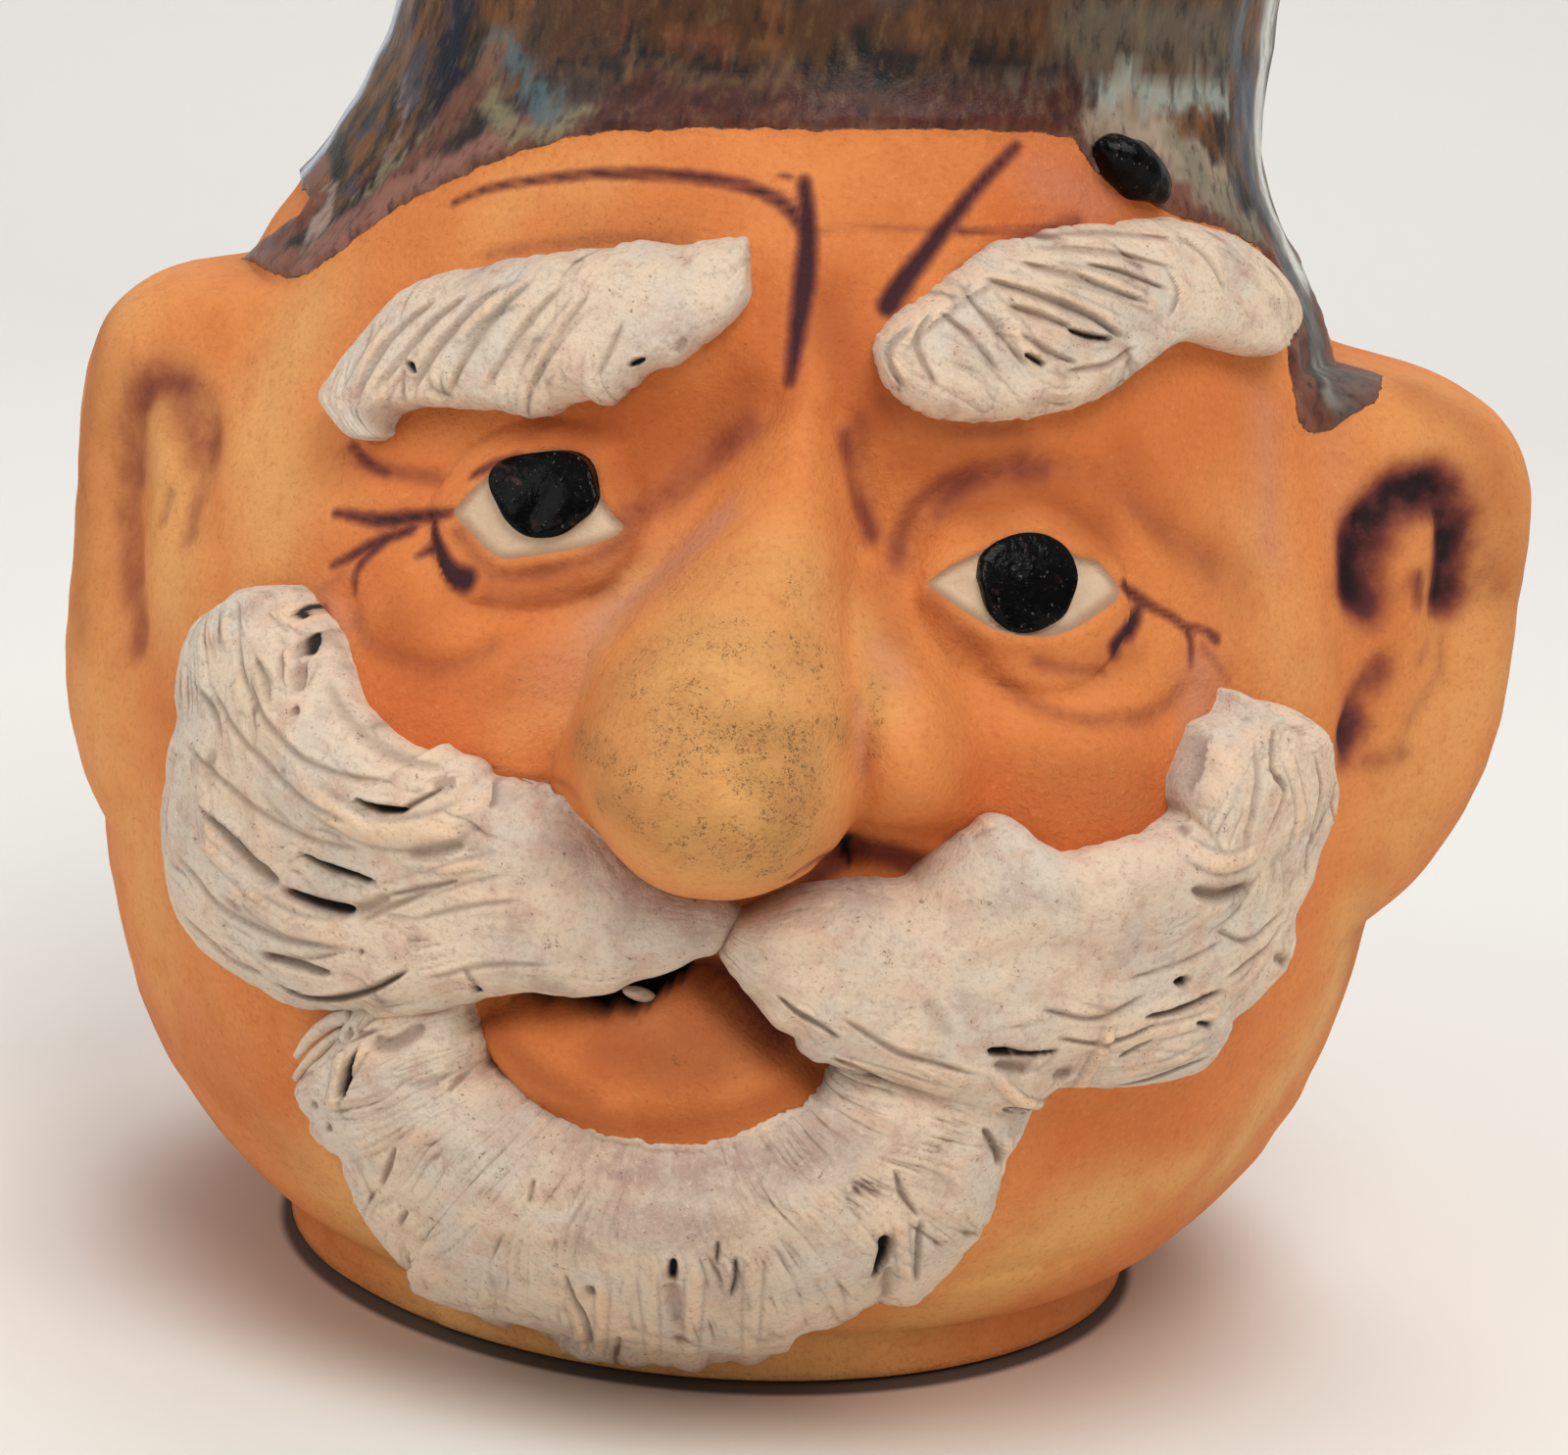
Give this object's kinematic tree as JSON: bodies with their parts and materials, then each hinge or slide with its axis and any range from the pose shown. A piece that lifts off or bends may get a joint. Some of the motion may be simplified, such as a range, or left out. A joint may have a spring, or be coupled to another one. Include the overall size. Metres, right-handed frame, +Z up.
{
  "type": "face mug",
  "caption": "Stoneware drinking mug modelled as a comical old man's head, with white clay brows, moustache and beard and a loop handle behind.",
  "frame": {"origin": "centre of the foot, on the flat underside", "axes": "+Z up along the pot, the face looks along -Y, the handle is on the +Y side, +X is on the right as one faces the mug"},
  "size_m": [0.1118, 0.146, 0.114],
  "materials": {
    "orange_clay": "matte fired clay, stained red and brown in places, with a glossy brown and blue glaze on the neck, the back and the handle",
    "white_clay": "matte unglazed white clay with dark grit"
  },
  "bodies": {
    "root": {"mug": "orange_clay", "brow_left": "white_clay", "brow_right": "white_clay", "moustache_left": "white_clay", "moustache_right": "white_clay", "beard": "white_clay"}
  },
  "joints": []
}
